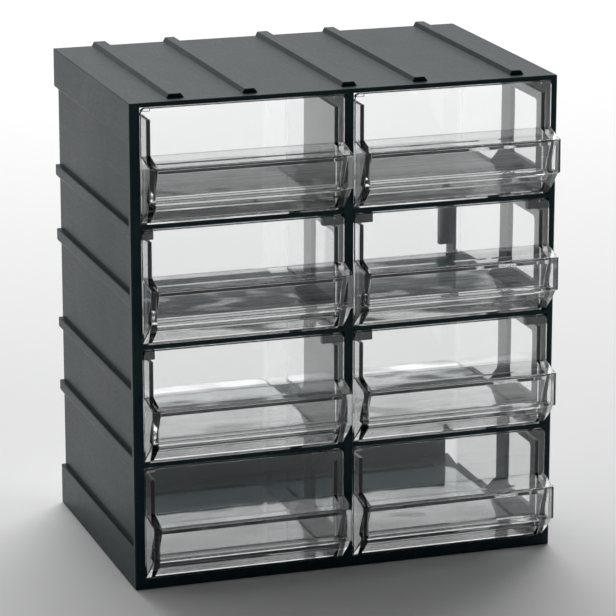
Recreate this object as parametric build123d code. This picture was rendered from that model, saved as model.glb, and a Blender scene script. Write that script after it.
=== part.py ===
from build123d import *
import os

# Small parts cabinet: a black moulded frame with eight clear bins in two
# columns of four. Millimetres. +Z up, bins open towards -Y, +X to the right
# as seen from the front.

# ---------------------------------------------------------------- dimensions
W = 199.0            # frame width
D = 131.0            # frame depth
H = 222.0            # frame height without the top ribs
PULL = 13.6          # how far the pulls stand out of the frame's front plane

# the modelling datum is the frame's front left bottom corner; the finished
# part is moved so that its bottom centre lies on the origin
MX = -W / 2
MY = -(D - PULL) / 2

LEFT_SKIN = 2.0      # recessed outer face of the left wall
LEFT_IN = 4.6        # inner face of the left wall
PART_L = 98.1        # partition's front flange, left face
PART_R = 102.5       # partition's front flange, right face
WEB_L = 99.2         # partition's web, left face
WEB_R = 101.4        # partition's web, right face
WEB_Y = 7.0          # depth of the partition's front flange
WEB_TONGUE = 0.5     # how far shelf ends sit in the web's grooves
RIGHT_IN = 196.0     # inner face of the right wall
TOP_IN = 220.0       # underside of the top panel
BASE_TOP = 4.6       # upper face of the base
SHELF_T = 2.2        # shelf thickness
SHELF_D = 98.0       # shelf depth; the bins reach a little past its rear edge
BAY_H = 52.2         # clear height of one bay
PITCH = BAY_H + SHELF_T
TONGUE = 0.8         # how far shelf ends sit in the wall grooves
TONGUE_Y = 4.0       # grooves start this far behind the front plane

FLANGE_Y = 3.0       # front flange of the left side
TOP_BAND = 204.3     # lower edge of the flush band at the top of the left side
TOP_BAND_FOOT = 202.5
LOW_BAND = 19.0      # upper edge of the flush band at the bottom
RAILS = [            # outer top, outer bottom, foot on the wall
    (166.8, 161.9, 159.6),
    (135.8, 130.5, 128.2),
    (92.4, 88.0, 85.7),
    (61.4, 56.8, 54.0),
]

RIB_H = 2.0          # top ribs
RIB_Y0 = 6.0
RIBS = [(18.5, 26.5), (53.0, 60.0), (98.5, 106.0), (132.0, 139.2), (178.3, 185.1)]
RIB_LEAN = 1.0       # left flank leans in
RIB_SLOPE = 1.6      # right flank slopes
GROOVE_GAP = 0.4     # base grooves are this much wider than the ribs, each side

POST_F = 14.5        # walls with windows: rear edge of the front post
WIN_F = 46.0         # rear edge of the front window
POST_M = 57.0        # rear edge of the middle post; the rear windows are open to the back
WIN_SILL = 10.0      # sill above the bay floor
GUSSET = 14.0        # behind the middle post the sill slopes down to the bay floor
WIN_HEAD = 11.5      # head below the bay ceiling
REAR_HEAD = 4.0      # the same for the rear windows
WIN_R = 2.0          # window corners
RIGHT_SKIN = 198.2   # recessed outer face of the right wall
RIGHT_BANDS = (13.5, 209.5)  # the right wall is flush below and above these heights

APRON_TOP = 24.0     # low closed strip at the back
APRON_T = 3.0

STOP_Y = 112.0       # small rear stops for the lowest bins
STOP_T = 1.6
STOP_H = 2.0

LUG_H = 5.0          # lugs under the upper shelves
LUG_W = 9.6
LUG_W_LEFT = 6.0
LUG_Y = (2.2, 5.2)

EAR_Z = (103.0, 137.0)   # rear ear of the right wall
EAR_Y = 117.0
EAR_X = 191.2

# ---------------------------------------------------------------- bin
BIN_W = 92.8         # front panel
BIN_T = 51.0
BIN_GAP = 0.35       # side gap to the walls
BIN_LIFT = 0.8       # panel's lower edge above the bay floor
BIN_FACE = 1.2       # front panel stands this far out of the frame
BIN_PLATE = 1.8      # front panel thickness
BIN_DEPTH = 109.0
BIN_SIDE = 2.5       # box sides are set in from the panel's ends
BIN_WALL = 1.8
BIN_FLOOR = 1.5
BIN_TOP = 45.8       # upper edge of sides and back above the panel's lower edge
BIN_R = 8.0          # rear corners
BIN_REST = 0.05      # clearance under the floor
CAP = 2.6            # end caps of the pull
PANEL_R = 2.0        # panel corners
RIM_H = 1.4          # thickened upper rim of the panel
RIM_Y = 1.6          # its rear face


def block(x0, x1, y0, y1, z0, z1):
    return Pos((x0 + x1) / 2, (y0 + y1) / 2, (z0 + z1) / 2) * Box(x1 - x0, y1 - y0, z1 - z0)


def prism_x(pts, x0, x1):
    """Prism along X over a polygon of (y, z) points."""
    w = Wire.make_polygon([Vector(x0, y, z) for y, z in pts], close=True)
    return extrude(Face(w), amount=x1 - x0, dir=(1, 0, 0))


def prism_y(pts, y0, y1):
    """Prism along Y over a polygon of (x, z) points."""
    w = Wire.make_polygon([Vector(x, y0, z) for x, z in pts], close=True)
    return extrude(Face(w), amount=y1 - y0, dir=(0, 1, 0))


def edges_at(shape, axis, test, tol=0.02):
    """Straight edges parallel to an axis whose centre passes the test."""
    out = []
    for e in shape.edges().filter_by(axis):
        c = e.center()
        if test(c):
            out.append(e)
    return out


def near(a, b, tol=0.03):
    return abs(a - b) < tol


# ---------------------------------------------------------------- bays
def bay_floor(row):
    """Floor height of a bay; row 1 is the uppermost, row 4 stands on the base."""
    return BASE_TOP + (4 - row) * PITCH


def windows(x0, x1, front_rows, short_rows):
    """Window cutters for a wall: a long rear one per row, open to the back,
    and a short front one in the given rows. Under the short rows the strip
    of wall beside the shelf ends where the shelf ends."""
    cut = None
    for row in (1, 2, 3, 4):
        z0 = bay_floor(row) + WIN_SILL
        z1 = bay_floor(row) + BAY_H - WIN_HEAD
        z2 = bay_floor(row) + BAY_H - REAR_HEAD
        rear = prism_x([(POST_M, z0), (POST_M + GUSSET, bay_floor(row)), (D + 1, bay_floor(row)),
                        (D + 1, z2), (POST_M, z2)], x0 - 1, x1 + 1)
        rear = fillet([e for e in rear.edges().filter_by(Axis.X)
                       if near(e.center().Y, POST_M)], WIN_R)
        cut = rear if cut is None else cut + rear
        if row in front_rows:
            front = block(x0 - 1, x1 + 1, POST_F, WIN_F, z0, z1)
            cut += fillet(front.edges().filter_by(Axis.X), WIN_R)
        if row in short_rows:
            cut += block(x0 - 1, x1 + 1, SHELF_D, D + 1,
                         bay_floor(row) - SHELF_T - REAR_HEAD - 0.5, bay_floor(row) + 0.5)
    return cut


def grooves(x0, x1):
    """Grooves for the shelf tongues in a wall."""
    cut = None
    for row in (1, 2, 3):
        z1 = bay_floor(row)
        g = block(x0, x1, TONGUE_Y, SHELF_D, z1 - SHELF_T, z1)
        cut = g if cut is None else cut + g
    return cut


# ---------------------------------------------------------------- frame pieces
def make_top():
    s = block(LEFT_IN, RIGHT_IN, 0, D, TOP_IN, H)
    for a, b in RIBS:
        s += prism_y([(a, H - 0.5), (a, H), (a + RIB_LEAN, H + RIB_H),
                      (b - RIB_SLOPE, H + RIB_H), (b, H), (b, H - 0.5)], RIB_Y0, D)
    # soft upper edges of the ribs and of their front ends
    es = [e for e in s.edges().filter_by(Axis.Y) if near(e.center().Z, H + RIB_H)]
    es += [e for e in s.edges().filter_by(Axis.X)
           if near(e.center().Z, H + RIB_H) and near(e.center().Y, RIB_Y0)]
    s = fillet(es, 0.3)
    es = [e for e in s.edges().filter_by(Axis.X) if near(e.center().Z, H) and near(e.center().Y, 0)]
    return chamfer(es, 0.4)


def make_left():
    s = block(LEFT_SKIN, LEFT_IN, 0, D, 0, H)
    s += block(0, LEFT_SKIN + 0.5, 0, FLANGE_Y, 0, H)
    s += prism_y([(0, TOP_BAND), (0, H), (LEFT_SKIN + 0.5, H),
                  (LEFT_SKIN + 0.5, TOP_BAND_FOOT), (LEFT_SKIN, TOP_BAND_FOOT)], 0, D)
    s += block(0, LEFT_SKIN + 0.5, 0, D, 0, LOW_BAND)
    for top, low, foot in RAILS:
        s += prism_y([(0, low), (0, top), (LEFT_SKIN + 0.5, top),
                      (LEFT_SKIN + 0.5, foot), (LEFT_SKIN, foot)], 0, D)
    s -= grooves(LEFT_IN - TONGUE, LEFT_IN + 1)
    zs = [t for t, l, f in RAILS] + [l for t, l, f in RAILS] + [TOP_BAND, LOW_BAND, H]
    es = [e for e in s.edges().filter_by(Axis.Y)
          if near(e.center().X, 0) and any(near(e.center().Z, z) for z in zs)]
    s = chamfer(es, 0.3)
    es = [e for e in s.edges().filter_by(Axis.Z) if near(e.center().X, 0) and near(e.center().Y, 0)]
    return chamfer(es, 0.5)


def make_right():
    s = block(RIGHT_IN, W, 0, D, 0, H)
    s -= block(RIGHT_SKIN, W + 1, FLANGE_Y, D + 1, RIGHT_BANDS[0], RIGHT_BANDS[1])
    s -= windows(RIGHT_IN, W, (1, 2, 3, 4), (1, 3))
    # rear ear of the second row: a closed patch of wall with an inward flange
    z0, z1 = EAR_Z
    s += block(RIGHT_IN, RIGHT_SKIN, EAR_Y, D, z0, z1)
    s += block(EAR_X, RIGHT_IN + 0.5, D - APRON_T, D, bay_floor(2), z1)
    s -= grooves(RIGHT_IN - 1, RIGHT_IN + TONGUE)
    es = [e for e in s.edges().filter_by(Axis.Z) if near(e.center().X, W) and near(e.center().Y, 0)]
    es += [e for e in s.edges().filter_by(Axis.Y) if near(e.center().X, W) and near(e.center().Z, H)]
    return chamfer(es, 0.5)


def make_partition():
    s = block(WEB_L, WEB_R, 0, D, BASE_TOP, TOP_IN)
    s -= windows(WEB_L, WEB_R, (2, 4), (1, 2, 3))
    for row in (1, 2, 3):
        z1 = bay_floor(row)
        s -= block(WEB_L - 1, WEB_L + WEB_TONGUE, WEB_Y, SHELF_D, z1 - SHELF_T, z1)
        s -= block(WEB_R - WEB_TONGUE, WEB_R + 1, WEB_Y, SHELF_D, z1 - SHELF_T, z1)
    s += block(PART_L, PART_R, 0, WEB_Y, BASE_TOP, TOP_IN)
    s -= block(PART_L - 1, PART_R + 1, D - APRON_T, D + 1, BASE_TOP - 1, APRON_TOP)
    es = [e for e in s.edges().filter_by(Axis.Z) if near(e.center().Y, 0)]
    return chamfer(es, 0.3)


def make_base():
    s = block(LEFT_IN, RIGHT_IN, 0, D, 0, BASE_TOP)
    for a, b in RIBS:
        s -= prism_y([(a - GROOVE_GAP, -1), (a - GROOVE_GAP, 0), (a + RIB_LEAN - GROOVE_GAP, RIB_H + 0.2),
                      (b - RIB_SLOPE + GROOVE_GAP, RIB_H + 0.2), (b + GROOVE_GAP, 0), (b + GROOVE_GAP, -1)],
                     RIB_Y0 - 0.5, D + 1)
    for x0, x1 in ((LEFT_IN, PART_L), (PART_R, RIGHT_IN)):
        s += block(x0 + 12, x1 - 12, STOP_Y, STOP_Y + STOP_T, BASE_TOP - 0.5, BASE_TOP + STOP_H)
    return s


def make_apron():
    s = block(LEFT_IN, RIGHT_IN, D - APRON_T, D, BASE_TOP, APRON_TOP)
    es = [e for e in s.edges().filter_by(Axis.X) if near(e.center().Z, APRON_TOP)]
    # the strip passes behind the partition, so only its ends keep square edges
    return chamfer([e for e in es if near(e.center().Y, D)], 0.4)


def make_shelf(col, n):
    """Shelf n of a column, 1 being the uppermost; it is the floor of row n."""
    x0, x1 = (LEFT_IN, PART_L) if col == "left" else (PART_R, RIGHT_IN)
    z1 = bay_floor(n)
    z0 = z1 - SHELF_T
    s = block(x0, x1, 0, SHELF_D, z0, z1)
    # tongues: one in the side wall's groove, one reaching the partition's web
    if col == "left":
        s += block(x0 - TONGUE, x0 + 1, TONGUE_Y, SHELF_D, z0, z1)
        s += block(x1 - 1, WEB_L + WEB_TONGUE, WEB_Y, SHELF_D, z0, z1)
    else:
        s += block(WEB_R - WEB_TONGUE, x0 + 1, WEB_Y, SHELF_D, z0, z1)
        s += block(x1 - 1, x1 + TONGUE, TONGUE_Y, SHELF_D, z0, z1)
    if n < 3:
        wl = LUG_W_LEFT if col == "left" else LUG_W
        for a, b in ((x0, x0 + wl), (x1 - LUG_W, x1)):
            s += block(a, b, LUG_Y[0], LUG_Y[1], z0 - LUG_H, z0 + 0.5)
    es = [e for e in s.edges().filter_by(Axis.X)
          if near(e.center().Y, 0) and (near(e.center().Z, z0) or near(e.center().Z, z1))]
    return chamfer(es, 0.3)


# ---------------------------------------------------------------- bin
# (y, z) outline of the pull in front of the panel, z from the panel's lower edge
P_A = (-BIN_FACE, 30.0)      # panel meets the pull's sloped top
P_A2 = (-8.5, 28.1)
P_B = (-PULL, 26.9)          # front upper edge
P_B1 = (-PULL, 24.4)         # front lip, lower edge
P_B2 = (-12.6, 24.2)         # slanted label face, upper end
P_S = (-7.0, 12.3)           # slanted label face, lower end
P_L = (-PULL, 13.0)          # ledge, front upper edge
P_C = (-PULL, 11.8)          # ledge, front lower edge
P_D0 = (-10.8, 10.6)
P_D1 = (-7.4, 6.6)
P_D = (0.0, 0.0)             # panel's lower edge


def make_bin():
    # front panel and the pull's outer shape, end to end
    front = prism_x([(-BIN_FACE, BIN_T), P_A, P_A2, P_B, P_C, P_D0, P_D1, P_D,
                     (BIN_PLATE - BIN_FACE, -0.2), (BIN_PLATE - BIN_FACE, BIN_T - RIM_H),
                     (RIM_Y, BIN_T - RIM_H), (RIM_Y, BIN_T)], 0, BIN_W)
    es = [e for e in front.edges() if near(e.center().X, 0) or near(e.center().X, BIN_W)]
    top = [e for e in front.edges().filter_by(Axis.Y) if near(e.center().Z, BIN_T)]
    assert len(top) == 2
    front = fillet(top, PANEL_R)

    # box: sides, floor and back with round rear corners
    b0, b1 = BIN_SIDE, BIN_W - BIN_SIDE
    fl = -BIN_LIFT + BIN_REST
    outer = block(b0, b1, 0.1, BIN_DEPTH, fl, BIN_TOP)
    outer = fillet([e for e in outer.edges().filter_by(Axis.Z) if near(e.center().Y, BIN_DEPTH)], BIN_R)
    inner = block(b0 + BIN_WALL, b1 - BIN_WALL, -1.0, BIN_DEPTH - BIN_WALL, fl + BIN_FLOOR, BIN_TOP + 5)
    inner = fillet([e for e in inner.edges().filter_by(Axis.Z)
                    if near(e.center().Y, BIN_DEPTH - BIN_WALL)], BIN_R - BIN_WALL)
    inner -= block(-5, BIN_W + 5, -5, BIN_PLATE - BIN_FACE, -5, BIN_T + 5)

    # hollow of the pull and its label recess, between the end caps
    hollow = prism_x([(2.2, fl + BIN_FLOOR), (1.9, fl + BIN_FLOOR), (-6.2, 7.9), (-8.6, 10.3),
                      (-4.9, 10.7), (-5.4, 13.0), (-11.4, 25.7), (-8.3, 26.4),
                      (BIN_PLATE - BIN_FACE, 28.7), (2.2, 28.7)],
                     b0 + BIN_WALL, b1 - BIN_WALL)
    recess = prism_x([(-PULL - 1, P_B1[1] + 0.25), P_B1, P_B2, P_S, P_L, (-PULL - 1, P_L[1] + 0.18)],
                     CAP, BIN_W - CAP)

    # outer long edges of the pull and the panel are slightly rounded
    def at(e, p):
        return near(e.center().Y, p[0]) and near(e.center().Z, p[1])
    soft = [e for e in front.edges().filter_by(Axis.X) if at(e, P_B) or at(e, P_C) or at(e, P_D1) or at(e, P_D0)]
    front = fillet(soft, 0.6)
    ends = []
    for e in front.edges():
        c = e.center()
        if (near(c.X, 0) or near(c.X, BIN_W)) and c.Y < -BIN_FACE - 0.02:
            ends.append(e)
    try:
        front = fillet(ends, 0.4)
    except Exception:
        print("pull ends stay square")

    s = (front + outer) - inner - hollow - recess
    return s


bin_solid = make_bin()


def place(shape):
    return Pos(MX, MY, 0) * shape


PIECES = {
    "top_panel": make_top(),
    "base_panel": make_base(),
    "left_side_panel": make_left(),
    "right_side_panel": make_right(),
    "centre_partition": make_partition(),
    "rear_apron": make_apron(),
}
for col in ("left", "right"):
    for n in (1, 2, 3):
        PIECES["shelf_%s_%d" % (col, n)] = make_shelf(col, n)
    bx = (LEFT_IN if col == "left" else PART_R) + BIN_GAP
    for n in (1, 2, 3, 4):
        PIECES["drawer_%s_%d" % (col, n)] = Pos(bx, 0, bay_floor(n) + BIN_LIFT) * bin_solid

os.makedirs("parts", exist_ok=True)
for name, shape in PIECES.items():
    s = place(shape)
    solids = s.solids()
    if len(solids) != 1:
        print("WARNING", name, "has", len(solids), "solids", [round(q.volume, 2) for q in solids])
    out = solids[0] if len(solids) == 1 else s
    export_step(out, "parts/%s.step" % name)
    bb = out.bounding_box()
    print("%-18s vol %9.1f  x %.1f..%.1f  y %.1f..%.1f  z %.1f..%.1f" % (
        name, out.volume, bb.min.X, bb.max.X, bb.min.Y, bb.max.Y, bb.min.Z, bb.max.Z))
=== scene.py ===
import math

import bpy
from mathutils import Matrix, Vector

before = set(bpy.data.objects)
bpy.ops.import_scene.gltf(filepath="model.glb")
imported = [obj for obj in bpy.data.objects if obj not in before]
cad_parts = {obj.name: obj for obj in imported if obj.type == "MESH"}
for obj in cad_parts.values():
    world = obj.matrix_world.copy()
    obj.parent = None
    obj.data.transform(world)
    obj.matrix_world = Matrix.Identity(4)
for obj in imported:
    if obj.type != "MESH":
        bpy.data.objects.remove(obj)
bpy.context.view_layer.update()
scene = bpy.context.scene

# ------------------------------------------------------------------ camera
# a long lens, a little to the left of the front and above it
YAW = 0.32214
PITCH = 0.26923
FOCAL_PX = 3397.7
POS = Vector((-0.47965, -1.44080, 0.52597))

cam_data = bpy.data.cameras.new("camera")
cam = bpy.data.objects.new("camera", cam_data)
scene.collection.objects.link(cam)
fwd = Vector((math.sin(YAW) * math.cos(PITCH), math.cos(YAW) * math.cos(PITCH), -math.sin(PITCH)))
right = Vector((math.cos(YAW), -math.sin(YAW), 0.0))
up = right.cross(fwd)
m = Matrix((
    (right.x, up.x, -fwd.x, POS.x),
    (right.y, up.y, -fwd.y, POS.y),
    (right.z, up.z, -fwd.z, POS.z),
    (0, 0, 0, 1),
))
cam.matrix_world = m
cam_data.sensor_width = 36.0
cam_data.lens = FOCAL_PX / 616.0 * 36.0
cam_data.clip_start = 0.05
cam_data.clip_end = 50.0
scene.camera = cam

# ------------------------------------------------------------------ colour
scene.view_settings.view_transform = "Standard"
scene.view_settings.look = "None"
scene.view_settings.exposure = 0.0
scene.view_settings.gamma = 1.0
scene.cycles.max_bounces = 40
scene.cycles.transmission_bounces = 32
scene.cycles.transparent_max_bounces = 64
scene.cycles.glossy_bounces = 12
scene.cycles.diffuse_bounces = 4
scene.cycles.blur_glossy = 0.3
scene.cycles.sample_clamp_indirect = 6.0
scene.cycles.use_denoising = True


# ------------------------------------------------------------------ node help
def new_mat(name):
    mat = bpy.data.materials.new(name)
    mat.use_nodes = True
    nt = mat.node_tree
    nt.nodes.clear()
    return mat, nt


def node(nt, kind, **kw):
    n = nt.nodes.new(kind)
    for k, v in kw.items():
        setattr(n, k, v)
    return n


def math_node(nt, op, a, b=None, clamp=False):
    n = node(nt, "ShaderNodeMath", operation=op, use_clamp=clamp)
    for i, v in enumerate((a, b)):
        if v is None:
            continue
        if isinstance(v, (int, float)):
            n.inputs[i].default_value = v
        else:
            nt.links.new(v, n.inputs[i])
    return n.outputs[0]


def map_range(nt, value, f0, f1, t0, t1, smooth=False):
    n = node(nt, "ShaderNodeMapRange")
    if smooth:
        n.interpolation_type = "SMOOTHSTEP"
    nt.links.new(value, n.inputs["Value"])
    n.inputs["From Min"].default_value = f0
    n.inputs["From Max"].default_value = f1
    n.inputs["To Min"].default_value = t0
    n.inputs["To Max"].default_value = t1
    return n.outputs["Result"]


def noise(nt, vec, scale, detail=2.0, rough=0.5, distortion=0.0):
    n = node(nt, "ShaderNodeTexNoise")
    nt.links.new(vec, n.inputs["Vector"])
    n.inputs["Scale"].default_value = scale
    n.inputs["Detail"].default_value = detail
    n.inputs["Roughness"].default_value = rough
    n.inputs["Distortion"].default_value = distortion
    return n.outputs["Fac"]


def mapping(nt, vec, scale=(1, 1, 1), rot=(0, 0, 0), loc=(0, 0, 0)):
    n = node(nt, "ShaderNodeMapping")
    nt.links.new(vec, n.inputs["Vector"])
    n.inputs["Scale"].default_value = scale
    n.inputs["Rotation"].default_value = rot
    n.inputs["Location"].default_value = loc
    return n.outputs["Vector"]


def mix_colour(nt, fac, a, b):
    n = node(nt, "ShaderNodeMix", data_type="RGBA")
    nt.links.new(fac, n.inputs[0])
    for sock, v in ((n.inputs[6], a), (n.inputs[7], b)):
        if isinstance(v, tuple):
            sock.default_value = v
        else:
            nt.links.new(v, sock)
    return n.outputs[2]


# ------------------------------------------------------------------ black moulded plastic
def black_plastic(name, seed):
    mat, nt = new_mat(name)
    out = node(nt, "ShaderNodeOutputMaterial")
    p = node(nt, "ShaderNodeBsdfPrincipled")
    nt.links.new(p.outputs["BSDF"], out.inputs["Surface"])
    tc = node(nt, "ShaderNodeTexCoord")
    obj = mapping(nt, tc.outputs["Object"], loc=(seed * 0.37, seed * 0.11, seed * 0.23))

    # mould flow and handling: broad soft patches
    broad = noise(nt, obj, 14.0, 3.0, 0.55)
    # fine spark-eroded grain of the mould, about a third of a millimetre
    grain = noise(nt, obj, 2600.0, 2.0, 0.6)
    grain_b = noise(nt, obj, 900.0, 2.0, 0.5)
    # faint drag marks along the depth of the frame
    drag = noise(nt, mapping(nt, obj, scale=(900.0, 22.0, 900.0)), 1.0, 2.0, 0.5)
    marks = map_range(nt, drag, 0.60, 0.72, 0.0, 1.0, True)
    # sparse dust specks
    speck = noise(nt, obj, 420.0, 1.0, 0.4)
    specks = map_range(nt, speck, 0.74, 0.78, 0.0, 1.0, True)

    base = mix_colour(nt, broad, (0.0016, 0.0125, 0.0160, 1), (0.0026, 0.0155, 0.0195, 1))
    worn = mix_colour(nt, math_node(nt, "MULTIPLY", marks, 0.10), base, (0.012, 0.022, 0.026, 1))
    dusty = mix_colour(nt, math_node(nt, "MULTIPLY", specks, 0.25), worn, (0.07, 0.075, 0.078, 1))
    # rubbed outer edges, found by the shape's own convex edges
    geo = node(nt, "ShaderNodeNewGeometry")
    edge = map_range(nt, geo.outputs["Pointiness"], 0.505, 0.56, 0.0, 1.0, True)
    edge_n = math_node(nt, "MULTIPLY", edge, map_range(nt, noise(nt, obj, 160.0, 3.0, 0.6), 0.35, 0.7, 0.1, 1.0))
    col = mix_colour(nt, math_node(nt, "MULTIPLY", edge_n, 0.4), dusty, (0.020, 0.034, 0.040, 1))
    nt.links.new(col, p.inputs["Base Color"])

    r = map_range(nt, broad, 0.3, 0.7, 0.33, 0.38)
    r2 = math_node(nt, "ADD", r, map_range(nt, grain_b, 0.3, 0.7, -0.035, 0.035))
    r3 = math_node(nt, "SUBTRACT", r2, math_node(nt, "MULTIPLY", marks, 0.025), True)
    nt.links.new(r3, p.inputs["Roughness"])
    p.inputs["IOR"].default_value = 1.25
    p.inputs["Specular IOR Level"].default_value = 0.5
    p.inputs["Specular Tint"].default_value = (0.80, 0.97, 1.0, 1.0)
    p.inputs["Metallic"].default_value = 0.0

    bev = node(nt, "ShaderNodeBevel", samples=4)
    bev.inputs["Radius"].default_value = 0.00035
    b1 = node(nt, "ShaderNodeBump")
    b1.inputs["Strength"].default_value = 0.35
    b1.inputs["Distance"].default_value = 0.00004
    nt.links.new(grain, b1.inputs["Height"])
    nt.links.new(bev.outputs["Normal"], b1.inputs["Normal"])
    b2 = node(nt, "ShaderNodeBump")
    b2.inputs["Strength"].default_value = 0.25
    b2.inputs["Distance"].default_value = 0.0004
    nt.links.new(noise(nt, obj, 55.0, 2.0, 0.5), b2.inputs["Height"])
    nt.links.new(b1.outputs["Normal"], b2.inputs["Normal"])
    nt.links.new(b2.outputs["Normal"], p.inputs["Normal"])
    return mat


# ------------------------------------------------------------------ clear moulded plastic
def clear_plastic(name, seed):
    mat, nt = new_mat(name)
    out = node(nt, "ShaderNodeOutputMaterial")
    p = node(nt, "ShaderNodeBsdfPrincipled")
    tc = node(nt, "ShaderNodeTexCoord")
    obj = mapping(nt, tc.outputs["Object"], loc=(seed * 0.31, seed * 0.17, seed * 0.41))
    p.inputs["Transmission Weight"].default_value = 1.0
    p.inputs["IOR"].default_value = 1.55
    p.inputs["Specular IOR Level"].default_value = 0.5

    cloud = noise(nt, obj, 30.0, 3.0, 0.5)
    col = mix_colour(nt, cloud, (0.975, 0.985, 0.985, 1), (0.992, 0.996, 0.996, 1))
    nt.links.new(col, p.inputs["Base Color"])

    # hair-fine rubbing on the clear faces
    scr = noise(nt, mapping(nt, obj, scale=(40.0, 900.0, 900.0), rot=(0.0, 0.35, 0.2)), 1.0, 2.0, 0.5)
    scratch = map_range(nt, scr, 0.66, 0.72, 0.0, 1.0, True)
    rough = math_node(nt, "ADD", map_range(nt, cloud, 0.35, 0.7, 0.004, 0.03), math_node(nt, "MULTIPLY", scratch, 0.05), True)
    nt.links.new(rough, p.inputs["Roughness"])

    # very slight waviness of moulded walls
    wave = noise(nt, obj, 34.0, 1.0, 0.4)
    b = node(nt, "ShaderNodeBump")
    b.inputs["Strength"].default_value = 0.30
    b.inputs["Distance"].default_value = 0.0006
    nt.links.new(wave, b.inputs["Height"])
    # every moulded edge is slightly round and catches the light
    bev = node(nt, "ShaderNodeBevel", samples=4)
    bev.inputs["Radius"].default_value = 0.00040
    nt.links.new(bev.outputs["Normal"], b.inputs["Normal"])
    nt.links.new(b.outputs["Normal"], p.inputs["Normal"])

    # lamps reach what stands behind the clear walls
    lp = node(nt, "ShaderNodeLightPath")
    tr = node(nt, "ShaderNodeBsdfTransparent")
    tr.inputs["Color"].default_value = (0.86, 0.87, 0.87, 1)
    mix = node(nt, "ShaderNodeMixShader")
    nt.links.new(lp.outputs["Is Shadow Ray"], mix.inputs[0])
    nt.links.new(p.outputs["BSDF"], mix.inputs[1])
    nt.links.new(tr.outputs["BSDF"], mix.inputs[2])
    nt.links.new(mix.outputs[0], out.inputs["Surface"])
    return mat


for i, (name, ob) in enumerate(sorted(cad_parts.items())):
    clear = name.startswith("drawer_")
    mat = clear_plastic("clear_" + name, i) if clear else black_plastic("black_" + name, i)
    for s in ob.material_slots:
        s.material = mat


# ------------------------------------------------------------------ floor
def make_floor():
    me = bpy.data.meshes.new("floor")
    s = 12.0
    me.from_pydata([(-s, -s, 0), (s, -s, 0), (s, s, 0), (-s, s, 0)], [], [(0, 1, 2, 3)])
    ob = bpy.data.objects.new("floor", me)
    scene.collection.objects.link(ob)
    mat, nt = new_mat("pale_floor")
    out = node(nt, "ShaderNodeOutputMaterial")
    p = node(nt, "ShaderNodeBsdfPrincipled")
    nt.links.new(p.outputs["BSDF"], out.inputs["Surface"])
    p.inputs["Base Color"].default_value = (0.86, 0.86, 0.86, 1)
    p.inputs["Roughness"].default_value = 0.9
    p.inputs["Specular IOR Level"].default_value = 0.1
    me.materials.append(mat)
    ob.location.z = -0.0003


make_floor()

# ------------------------------------------------------------------ light
WALL_LIGHT = 0.95
ROOM_LIGHT = 0.07
world = bpy.data.worlds.new("studio")
scene.world = world
world.use_nodes = True
nt = world.node_tree
nt.nodes.clear()
wout = node(nt, "ShaderNodeOutputWorld")
bg = node(nt, "ShaderNodeBackground")
tc = node(nt, "ShaderNodeTexCoord")
sep = node(nt, "ShaderNodeSeparateXYZ")
nt.links.new(tc.outputs["Generated"], sep.inputs[0])
# a bright wall behind the object, dimmer overhead, dim in front
wall = map_range(nt, sep.outputs["Y"], -0.05, 0.60, 0.0, 1.0, True)
# by height: glow at the horizon, a mid wall, a dark gap, a bright low screen, dimmer above
ramp = node(nt, "ShaderNodeValToRGB")
nt.links.new(sep.outputs["Z"], ramp.inputs["Fac"])
steps = ((0.0, 0.58), (0.10, 0.52), (0.16, 0.23), (0.234, 0.23), (0.246, 0.02), (0.275, 0.02), (0.284, 0.95),
         (0.308, 0.92), (0.318, 0.66), (0.345, 0.62), (0.37, 0.25), (0.9, 0.22))
els = ramp.color_ramp.elements
for k, (pos, v) in enumerate(steps):
    e = els[k] if k < 2 else els.new(pos)
    e.position = pos
    e.color = (v, v, v, 1.0)
high = math_node(nt, "MULTIPLY", ramp.outputs["Color"], 1.8)
side = map_range(nt, sep.outputs["X"], -0.95, -0.20, 0.09, 0.0, True)
glow = math_node(nt, "MULTIPLY", math_node(nt, "MULTIPLY", wall, high), WALL_LIGHT)
level = math_node(nt, "ADD", math_node(nt, "ADD", glow, side), ROOM_LIGHT)
col = node(nt, "ShaderNodeCombineColor")
for k in range(3):
    nt.links.new(level, col.inputs[k])
nt.links.new(col.outputs[0], bg.inputs["Color"])
bg.inputs["Strength"].default_value = 1.0
nt.links.new(bg.outputs[0], wout.inputs["Surface"])


def area(name, loc, target, size, power, size_y=None):
    d = bpy.data.lights.new(name, "AREA")
    d.energy = power
    d.shape = "RECTANGLE"
    d.size = size
    d.size_y = size_y or size
    o = bpy.data.objects.new(name, d)
    scene.collection.objects.link(o)
    o.location = loc
    v = Vector(target) - Vector(loc)
    o.rotation_mode = "QUATERNION"
    o.rotation_quaternion = v.to_track_quat("-Z", "Y")
    o.visible_camera = False
    return o


area("key_back", (0.45, 1.6, 2.05), (0.0, 0.40, 0.0), 2.2, 58.0, 1.6)
area("left_soft", (-2.2, 0.5, 1.3), (0.0, 0.1, 0.1), 1.2, 2.6)
area("front_fill", (0.6, -2.2, 2.4), (0.0, 0.0, 0.1), 1.0, 3.0)
